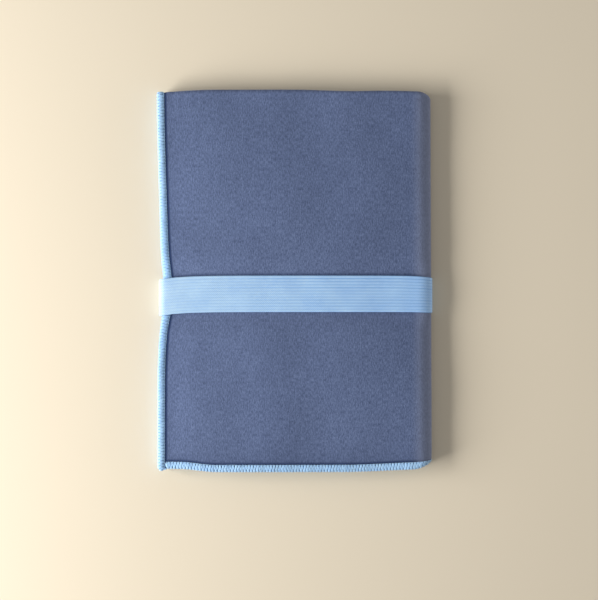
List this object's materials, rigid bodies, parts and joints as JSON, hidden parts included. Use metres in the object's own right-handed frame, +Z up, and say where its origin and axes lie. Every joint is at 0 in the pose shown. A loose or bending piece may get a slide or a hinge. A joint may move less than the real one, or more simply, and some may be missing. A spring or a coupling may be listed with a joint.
{
  "type": "quick dry towel",
  "caption": "Thin microfibre towel with overlocked edges, folded in four and held flat by a wide elastic band that slides off the end.",
  "frame": {"origin": "under the middle of the folded bundle, on the surface that it lies on", "axes": "+Z up through the layers, +Y along the bundle's long side towards the end with the first fold, +X towards the side with the second fold"},
  "size_m": [0.1992, 0.2758, 0.0131],
  "materials": {
    "microfibre_cloth": "matt suede nap, slate blue",
    "overlock_thread": "textured polyester thread, pale blue",
    "needle_thread": "spun polyester thread, pale blue",
    "label_tape": "woven satin tape, off-white",
    "woven_elastic": "ribbed woven elastic, pale blue, slight sheen",
    "band_thread": "polyester sewing thread, pale blue"
  },
  "bodies": {
    "towel": {"towel_cloth": "microfibre_cloth", "front_side_overlock_threads": "overlock_thread", "front_side_needle_thread": "needle_thread", "rear_side_overlock_threads": "overlock_thread", "rear_side_needle_thread": "needle_thread", "outer_end_overlock_threads": "overlock_thread", "outer_end_needle_thread": "needle_thread", "inner_end_overlock_threads": "overlock_thread", "inner_end_needle_thread": "needle_thread", "care_label": "label_tape"},
    "band": {"elastic_band": "woven_elastic", "band_stitches_left": "band_thread", "band_stitches_right": "band_thread"}
  },
  "joints": [
    {"name": "band_slide", "type": "slide", "parent": "towel", "child": "band", "axis": [0, 1, 0], "range_m": [-0.147, 0.165]}
  ]
}
